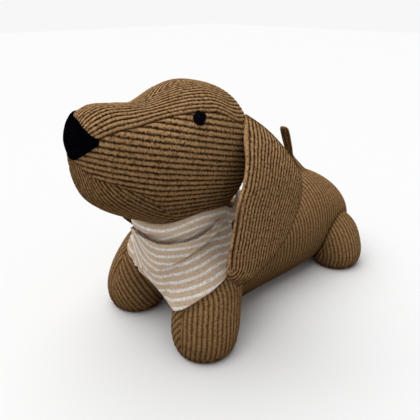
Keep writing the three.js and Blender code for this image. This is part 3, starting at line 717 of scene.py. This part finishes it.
class Drape:
    """The surface that the linen follows, by angle round the neck and drop below its top edge."""

    def __init__(self, head_tree, under):
        self.angles = np.linspace(-math.pi, math.pi, 289)
        self.drops = np.arange(0, DEEPEST + 1, DROP_STEP)
        count = len(self.angles) - 1
        reach = np.zeros((count, len(self.drops)))
        self.top = np.zeros(count)
        self.room = np.zeros(count)
        for i, angle in enumerate(self.angles[:-1]):
            way = Vector((math.sin(angle), -math.cos(angle), 0))
            behind = way.y > 0
            neck = 1 / math.hypot(way.x / NECK_X, way.y / (NECK_BACK if behind else NECK_FRONT))
            axis = Vector((0, NECK_Y, 0))
            jaw = head_tree.ray_cast(axis + way * (neck - TUCK), Vector((0, 0, 1)))[0]
            self.top[i] = min(KERCHIEF_TOP, (jaw.z if jaw else 999) - 0.6)
            floor = under.ray_cast(axis + way * neck + Vector((0, 0, self.top[i])), Vector((0, 0, -1)))[0]
            short = floor and way.y > (0.5 if way.x > 0 else 0)
            self.room[i] = self.top[i] - floor.z - CLOTH_REST if short else DEEPEST
            spread = np.interp(way.x, (SIDE_TO, SIDE_FROM, 0.6, 0.7),
                               (SIDE_SPREAD, FRONT_SPREAD, FRONT_SPREAD, FRONT_SPREAD + LEFT_EXTRA))
            widest = neck + (BACK_SPREAD if behind and way.x < 0 else spread)
            for k, drop in enumerate(self.drops):
                start = axis + way * 200 + Vector((0, 0, self.top[i] - drop))
                hit = under.ray_cast(start, -way, 200)[0]
                body = (hit - axis).xy.length + CLOTH_REST if hit else 0
                reach[i, k] = min(max(neck, body), widest)
        shifts = range(-BLEND, BLEND + 1)
        wide = np.max([np.roll(reach, s, axis=0) for s in shifts], axis=0)
        wide = np.maximum.accumulate(wide, axis=1)
        kernel = np.exp(-np.linspace(-2, 2, 2 * BLEND + 1) ** 2)
        kernel /= kernel.sum()
        soft = sum(w * np.roll(wide, s, axis=0) for w, s in zip(kernel, shifts))
        padded = np.pad(soft, ((0, 0), (4, 4)), mode="edge")
        soft = sum(padded[:, s:s + soft.shape[1]] for s in range(9)) / 9
        beside = (self.angles[:-1, None] - PRESSED_AT) / PRESSED_WIDTH
        inward = PRESSED * np.exp(-(beside ** 2)) * np.clip(self.drops / 14, 0, 1)
        self.reach = np.maximum(soft - inward, np.maximum.accumulate(reach, axis=1) - 0.6)
        for name in ("top", "room"):
            v = getattr(self, name)
            v = sum(w * np.roll(v, s) for w, s in zip(kernel, shifts))
            setattr(self, name, np.append(v, v[0]))
        self.reach = np.vstack([self.reach, self.reach[:1]])
        grid = self.points(self.angles, np.repeat(self.drops[None, :], len(self.angles), axis=0))
        rows, cols = grid.shape[:2]
        index = np.arange(rows * cols).reshape(rows, cols)
        faces = np.stack([index[:-1, :-1], index[:-1, 1:], index[1:, 1:], index[1:, :-1]], -1).reshape(-1, 4)
        self.tree = BVHTree.FromPolygons([Vector(p) for p in grid.reshape(-1, 3)], faces.tolist())

    def points(self, angles, drops, out=0.0):
        """Points for each angle's row of drops, moved out by a distance."""
        s = (np.asarray(angles) + math.pi) / (2 * math.pi) * (len(self.angles) - 1)
        i = np.clip(np.floor(s).astype(int), 0, len(self.angles) - 2)
        w = (s - i)[:, None]
        j = np.clip(drops / DROP_STEP, 0, len(self.drops) - 1.001)
        low = np.floor(j).astype(int)
        v = j - low
        value = lambda row: (self.reach[row[:, None], low] * (1 - v) + self.reach[row[:, None], low + 1] * v)
        r = value(i) * (1 - w) + value(i + 1) * w + out
        top = self.top[i][:, None] * (1 - w) + self.top[i + 1][:, None] * w
        a = np.asarray(angles)[:, None]
        return np.stack([np.sin(a) * r, NECK_Y - np.cos(a) * r, top - drops], -1)

    def drawn(self, pixels, angles, step=2.0):
        """The drop at each angle of a line drawn in the photo, and the angles that it spans."""
        line = np.array(pixels, float)
        length = np.concatenate([[0], np.cumsum(np.hypot(*np.diff(line, axis=0).T))])
        many = np.arange(0, length[-1] + step, step)
        found = []
        for px, py in zip(np.interp(many, length, line[:, 0]), np.interp(many, length, line[:, 1])):
            hit = self.tree.ray_cast(*pixel_ray(px, py))[0]
            if hit is not None:
                angle = math.atan2(hit.x, -(hit.y - NECK_Y))
                found.append((angle, np.interp(angle, self.angles, self.top) - hit.z))
        found = np.array(sorted(found))
        return np.interp(angles, found[:, 0], found[:, 1]), found[0, 0], found[-1, 0]


def ease(x):
    x = np.clip(x, 0, 1)
    return x * x * (3 - 2 * x)


def folds(angles, drops):
    """Soft waves of the hanging cloth, slanting on the dog's right."""
    a = np.asarray(angles)[:, None]
    slant = 0.7 * np.sin(0.33 * (drops - 34 * (a - KINK)))
    slant = slant * ease((KINK + 0.2 - a) / 0.6) * ease((a + 1.6) / 0.5)
    hang = 0.55 * np.sin(3.1 * a + 0.06 * drops) + 0.3 * np.sin(7.3 * a - 0.09 * drops + 1)
    return (hang + slant) * np.clip(drops / 20, 0.3, 1) * ease((3.1 - np.abs(a)) / 0.7)


def stripe_bend(arc, left, right):
    """How far the stripes drop along the cloth, with one slope on each side of the kink."""
    a = np.clip(arc, -60, 45) - AROUND * (KINK - FACING)
    return (left + right) / 2 * a + (right - left) / 2 * np.hypot(a, 8)


def add_neckerchief(drape, head_tree, material):
    skin = Skin()
    angles = np.linspace(-math.pi, math.pi, 361)
    hem, hem_from, hem_to = drape.drawn(FLAP_HEM, angles)
    even = np.convolve(np.pad(hem, 8, mode="edge"), np.full(17, 1 / 17), "valid")
    hem = hem + (even - hem) * ease((-0.4 - angles) / 0.3)
    left = ease((angles - hem_from + 0.6) / 0.7)
    right = ease((hem_to + 1.5 - angles) / 0.9)
    hem = np.maximum(BAND + (hem - BAND) * left * right, 8)
    hem = np.minimum(hem, np.interp(angles, drape.angles, drape.room))
    hem = hem + (np.minimum(hem, BACK_BAND) - hem) * ease((np.abs(angles) - 2.1) / 0.5)
    rows = np.linspace(0, 1, FLAP_ROWS)
    drops = hem[:, None] * rows
    front = (ease((angles - hem_from + 0.7) / 0.7) * ease((hem_to + 0.3 - angles) / 0.3))[:, None]
    arc = AROUND * (angles[:, None] - FACING)
    out = folds(angles, drops) - 1.2 * front * np.exp(-(((drops - 12) / 7) ** 2))
    turned = 0.8 * np.exp(-(((hem[:, None] - drops) / 1.6) ** 2))
    points = drape.points(angles, drops, out + turned)
    stripes = arcs(points) + stripe_bend(arc, -0.6, 0.25)
    skin.patch(points, np.stack([stripes, arc + 0 * drops], -1), 0.0)

    cowl, cowl_from, cowl_to = drape.drawn(COWL, angles)
    over, over_from, over_to = drape.drawn(OVERLAP, angles)
    first, last = min(cowl_from, over_from) - 0.5, min(cowl_to, over_to)
    pick = (angles >= first) & (angles <= last)
    some = angles[pick]
    end = np.minimum(np.maximum(over[pick], cowl[pick] + 1), hem[pick] - 0.5)
    start = np.minimum(cowl[pick], end - 1)
    fade = ease((some - first) / 0.5)
    rows = np.linspace(0, 1, LAYER_ROWS)
    drops = start[:, None] + (end - start)[:, None] * rows
    below = drops - start[:, None]
    lift = 1.5 + 1.7 * np.exp(-below / 4) + 1.5 * np.exp(-(((end[:, None] - drops) / 1.6) ** 2))
    points = drape.points(some, drops, folds(some, drops) + lift * (0.25 + 0.75 * fade[:, None]))
    arc = AROUND * (some[:, None] - FACING)
    stripes = arcs(points) + start[:, None] + stripe_bend(arc, -0.6, 0.0) + 3
    skin.patch(points, np.stack([stripes, arc + 0 * drops], -1), 0.0)

    roll, _, _ = drape.drawn(ROLL_EDGE, angles)
    roll = np.where(np.abs(angles - 0.5) < 1.6, roll, 9)
    rows = np.linspace(0, 1, ROLL_ROWS)
    rise = ROLL_RISE * (1 + LEFT_RISE * ease((angles - 0.5) / 0.8)) * ease((2.4 - np.abs(angles)) / 0.5)
    drops = -rise[:, None] + (roll + rise)[:, None] * rows
    bulge = ROLL_BULGE * np.sqrt(np.clip(np.sin(math.pi * np.clip(rows * 0.93 + 0.04, 0, 1)), 0, 1))
    points = drape.points(angles, drops, folds(angles, drops) * 0.5 + bulge[None, :] - 0.4)
    for point in points.reshape(-1, 3):
        jaw = head_tree.ray_cast(Vector((point[0], point[1], 60)), Vector((0, 0, 1)))[0]
        if jaw is not None:
            point[2] = min(point[2], jaw.z - 0.5)
    skin.patch(points, np.stack([arcs(points) + 2, AROUND * angles[:, None] + 0 * drops], -1), 0.0)

    piece = skin.weld().piece("neckerchief_linen", material)
    closing = piece.modifiers.new("linen_thickness", "SOLIDIFY")
    closing.thickness = LINEN_THICKNESS * MM
    closing.offset = 0
    return piece


# Materials
class Maths:
    """A shader value that takes part in Python arithmetic."""

    def __init__(self, graph, socket):
        self.graph, self.socket = graph, socket

    def combine(self, operation, *others):
        node = self.graph.tree.nodes.new("ShaderNodeMath")
        node.operation = operation
        for slot, value in zip(node.inputs, (self, *others)):
            if isinstance(value, Maths):
                self.graph.tree.links.new(value.socket, slot)
            else:
                slot.default_value = value
        return Maths(self.graph, node.outputs[0])

    def __add__(self, other):
        return self.combine("ADD", other)

    def __sub__(self, other):
        return self.combine("SUBTRACT", other)

    def __mul__(self, other):
        return self.combine("MULTIPLY", other)

    def __truediv__(self, other):
        return self.combine("DIVIDE", other)

    def __pow__(self, other):
        return self.combine("POWER", other)

    __radd__ = __add__
    __rmul__ = __mul__

    def __rsub__(self, other):
        return (self * -1) + other

    def sine(self):
        return self.combine("SINE")

    def size(self):
        return self.combine("ABSOLUTE")

    def clamp(self):
        return self.combine("MAXIMUM", 0.0).combine("MINIMUM", 1.0)

    def step(self, low, high):
        """Eased from 0 to 1 between two values."""
        x = ((self - low) / (high - low)).clamp()
        return x * x * (3 - 2 * x)


class Graph:
    """One material with a principled surface."""

    def __init__(self, name, roughness, sheen=0.0, tint=(1, 1, 1), shine=0.08):
        self.material = bpy.data.materials.new(name)
        self.material.use_nodes = True
        self.tree = self.material.node_tree
        self.surface = self.tree.nodes["Principled BSDF"]
        self.surface.inputs["Roughness"].default_value = roughness
        self.surface.inputs["Sheen Weight"].default_value = sheen
        self.surface.inputs["Sheen Roughness"].default_value = 0.5
        self.surface.inputs["Sheen Tint"].default_value = (*tint, 1)
        self.surface.inputs["Specular IOR Level"].default_value = shine

    def node(self, kind, inputs=(), **settings):
        node = self.tree.nodes.new(kind)
        for key, value in settings.items():
            setattr(node, key, value)
        for key, value in dict(inputs).items():
            if isinstance(value, Maths):
                value = value.socket
            if isinstance(value, bpy.types.NodeSocket):
                self.tree.links.new(value, node.inputs[key])
            else:
                node.inputs[key].default_value = value
        return node

    def cloth(self):
        """Coordinates across and along the cloth's ribs or stripes."""
        layer = self.node("ShaderNodeUVMap", uv_map="cloth").outputs[0]
        split = self.node("ShaderNodeSeparateXYZ", {0: layer})
        return Maths(self, split.outputs[0]), Maths(self, split.outputs[1])

    def place(self):
        return self.node("ShaderNodeTexCoord").outputs["Object"]

    def shade(self):
        return Maths(self, self.node("ShaderNodeAttribute", attribute_name="shade").outputs["Fac"])

    def noise(self, vector, scale, detail=2.0, rough=0.5):
        node = self.node("ShaderNodeTexNoise", {"Vector": vector, "Scale": scale, "Detail": detail,
                                                "Roughness": rough})
        return Maths(self, node.outputs[0])

    def join(self, x, y, z=0.0):
        return self.node("ShaderNodeCombineXYZ", {0: x, 1: y, 2: z}).outputs[0]

    def mix(self, share, first, second):
        """Mixed colours; each is a colour or a socket."""
        full = lambda c: (*c, 1) if isinstance(c, tuple) and len(c) == 3 else c
        node = self.node("ShaderNodeMix", data_type="RGBA")
        for key, value in ((0, share), (6, full(first)), (7, full(second))):
            value = value.socket if isinstance(value, Maths) else value
            if isinstance(value, bpy.types.NodeSocket):
                self.tree.links.new(value, node.inputs[key])
            else:
                node.inputs[key].default_value = value
        return node.outputs[2]

    def finish(self, colour, height, distance, strength=1.0):
        bump = self.node("ShaderNodeBump", {"Height": height, "Distance": distance, "Strength": strength})
        self.tree.links.new(bump.outputs[0], self.surface.inputs["Normal"])
        self.tree.links.new(colour, self.surface.inputs["Base Color"])
        return self.material


# Colours, and scales of the noise per metre
# The groove colours are the cloth between the ribs darkened with painted shade of the grooves.
DEEP_GROOVE, DEEP_RIDGE = (0.022, 0.009, 0.003), (0.56, 0.33, 0.155)
SOFT_GROOVE, SOFT_RIDGE = (0.18, 0.094, 0.036), (0.285, 0.168, 0.080)
WORN_BROWN, SHADED_BROWN = (0.34, 0.19, 0.078), (0.040, 0.016, 0.003)
TUFTS, WORN_PATCHES = 560, 35
BLACK, FELT_BLACK, THREAD_BLACK = (0.0006, 0.0006, 0.001), (0.0022, 0.0024, 0.0042), (0.004, 0.004, 0.006)
BEIGE, OFF_WHITE, BETWEEN_THREADS = (0.72, 0.54, 0.385), (0.97, 0.94, 0.90), (0.44, 0.32, 0.225)
THREAD = 0.55  # millimetres from one linen thread to the next


def corduroy(name, contrast):
    """Ribbed cloth: 1 is the deep cord of the head, and lower is the worn cord of the body."""
    g = Graph(name, 0.95, sheen=0.03, tint=(0.9, 0.65, 0.4), shine=0.0)
    across, along = g.cloth()
    ribs = (across * math.pi).sine().size()
    pile = g.noise(g.join(across * 3 + along * 0.5, along * 0.7), 1.0, 2.0, 0.7)
    tuft = g.noise(g.place(), TUFTS, 2.0, 0.7)
    worn = g.noise(g.place(), WORN_PATCHES, 3.0, 0.6)
    # lit mixes from the grooves' painted shade to the colour of the rib tops
    lit = (ribs + (pile - 0.5) * 1.3 + (tuft - 0.5) * 2.3).step(0.1, 1.3)
    groove, ridge = (tuple(a + (b - a) * (1 - contrast) for a, b in zip(deep, soft))
                     for deep, soft in ((DEEP_GROOVE, SOFT_GROOVE), (DEEP_RIDGE, SOFT_RIDGE)))
    colour = g.mix(lit, groove, ridge)
    colour = g.mix((worn - 0.35) * 0.3, colour, WORN_BROWN)
    colour = g.mix(g.shade(), colour, SHADED_BROWN)
    return g.finish(colour, ribs ** 0.7 * 0.5 + pile * 0.3 + tuft * 0.5, 1.1 * MM)


def felt():
    g = Graph("black_felt", 1.0, sheen=0.004, tint=(0.5, 0.55, 0.7), shine=0.0)
    fibre = g.noise(g.place(), 1400, 3.0, 0.7)
    cloud = g.noise(g.place(), 160, 3.0, 0.6)
    colour = g.mix((fibre * 0.6 + cloud * 0.4).step(0.35, 0.75), BLACK, FELT_BLACK)
    return g.finish(colour, fibre + cloud * 0.6, 0.5 * MM)


def knotted_thread():
    g = Graph("black_thread", 0.55, shine=0.02)
    strand = g.noise(g.place(), 900, 2.0, 0.5)
    colour = g.mix(strand.step(0.35, 0.65), BLACK, THREAD_BLACK)
    return g.finish(colour, strand, 0.4 * MM)


def striped_linen():
    g = Graph("striped_linen", 0.9, sheen=0.1)
    across, along = g.cloth()
    warp = (across * (math.pi / THREAD)).sine()
    weft = (along * (math.pi / THREAD)).sine()
    slub = g.noise(g.join(across * 0.2, along * 1.3), 1.0, 3.0, 0.7)
    fleck = g.noise(g.join(across * 1.3, along * 0.2), 1.0, 3.0, 0.7)
    wave = (across * (2 * math.pi / STRIPE)).sine()
    light = (wave + (slub - 0.5) * 0.25).step(0.20, 0.55)
    colour = g.mix(light, BEIGE, OFF_WHITE)
    weave = warp * weft * 0.5 + 0.5
    grain = ((slub - 0.5) * 3 + (fleck - 0.5) * 3 + 0.3).clamp()
    colour = g.mix(grain * 0.75, colour, BETWEEN_THREADS)
    return g.finish(colour, weave * 0.6 + slub * 0.5 + fleck * 0.5, 0.35 * MM)


def canvas():
    g = Graph("pouch_canvas", 0.9)
    across, along = g.cloth()
    weave = (across * math.pi).sine() * (along * math.pi).sine() * 0.5 + 0.5
    colour = g.mix(weave, (0.34, 0.29, 0.22), (0.46, 0.40, 0.31))
    return g.finish(colour, weave, 0.4 * MM)


# Floor and light
FLOOR_SIZE = 8.0
FLOOR_COLOUR = (0.928, 0.928, 0.928)
SKY_STRENGTH, BACKDROP = 0.31, (0.93, 0.93, 0.93, 1)
LAMP_TURN, LAMP_STRENGTH, LAMP_SIZE = (8, -13, 0), 2.45, 70  # degrees for the turn and the size


def add_floor():
    half = FLOOR_SIZE / 2
    mesh = bpy.data.meshes.new("studio_floor")
    corners = [(-half, -half, 0), (half, -half, 0), (half, half, 0), (-half, half, 0)]
    mesh.from_pydata(corners, [], [(0, 1, 2, 3)])
    floor = bpy.data.objects.new("studio_floor", mesh)
    bpy.context.scene.collection.objects.link(floor)
    g = Graph("studio_paper", 0.95)
    colour = g.mix(g.noise(g.place(), 3.0), FLOOR_COLOUR, tuple(0.995 * c for c in FLOOR_COLOUR))
    mesh.materials.append(g.finish(colour, g.noise(g.place(), 300.0), 0.02 * MM, 0.1))


def add_light():
    world = bpy.data.worlds.new("studio")
    bpy.context.scene.world = world
    world.use_nodes = True
    nodes, links = world.node_tree.nodes, world.node_tree.links
    sky = nodes["Background"]
    sky.inputs["Color"].default_value = (1, 1, 1, 1)
    sky.inputs["Strength"].default_value = SKY_STRENGTH
    seen = nodes.new("ShaderNodeBackground")
    seen.inputs["Color"].default_value = BACKDROP
    path = nodes.new("ShaderNodeLightPath")
    mixed = nodes.new("ShaderNodeMixShader")
    links.new(path.outputs["Is Camera Ray"], mixed.inputs[0])
    links.new(sky.outputs[0], mixed.inputs[1])
    links.new(seen.outputs[0], mixed.inputs[2])
    links.new(mixed.outputs[0], nodes["World Output"].inputs["Surface"])
    data = bpy.data.lights.new("soft_top", "SUN")
    data.energy = LAMP_STRENGTH
    data.angle = math.radians(LAMP_SIZE)
    lamp = bpy.data.objects.new("soft_top", data)
    lamp.rotation_euler = [math.radians(v) for v in LAMP_TURN]
    bpy.context.scene.collection.objects.link(lamp)


# Putting the dog together
bpy.context.scene.view_settings.view_transform = "Standard"
add_camera()
cord, body_cord = corduroy("deep_corduroy", 1.0), corduroy("soft_corduroy", 0.45)

torso = torso_skin()
head, head_tree = head_skin()
legs = {
    "foreleg_left": leg_skin(1, **FORELEG),
    "foreleg_right": leg_skin(-1, **FORELEG),
    "hindleg_left": leg_skin(1, **HINDLEG),
    "hindleg_right": leg_skin(-1, **HINDLEG),
}
ear = ear_skin()
ears = {"ear_left": ear, "ear_right": mirrored(ear, EAR_RIGHT_BACK)}

stuffed = {"torso": torso, "head": head, **legs, "tail": tail_skin(),
           **{name: skin.weld() for name, skin in ears.items()}, "belly_panel": panel_skin()}
FILL = {"torso": 0.9, "head": 0.95, "tail": 0.6, "ear_left": 0.3, "ear_right": 0.3, "belly_panel": 0.2}
DEEP = {"head", "ear_left", "ear_right"}
shaded_by(torso, stuffed["ear_left"].tree(), width=16, share=0.5)
torso_tree = torso.tree()
for leg in legs.values():
    shaded_by(leg, torso_tree, width=2.2, share=0.95, dip=0.9)
for node, skin in stuffed.items():
    piece = skin.piece(f"{node}_corduroy", cord if node in DEEP else body_cord, floor=0.0)
    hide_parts(node)
    FILL.get(node, 0.9)

pouch = pouch_skin().piece("weight_bag_canvas", canvas())
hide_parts("weight_bag")

nose = nose_skin(head_tree).piece("nose_felt", felt())
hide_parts("nose_patch")

thread = knotted_thread()
for word, side in (("left", 1), ("right", -1)):
    eye = add_eye(f"eye_{word}_knot", head_tree, side, thread)
    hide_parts(f"eye_{word}")

under = joined_tree([torso, legs["foreleg_left"], legs["foreleg_right"]])
kerchief = add_neckerchief(Drape(head_tree, under), head_tree, striped_linen())
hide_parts("neckerchief")

add_floor()
add_light()
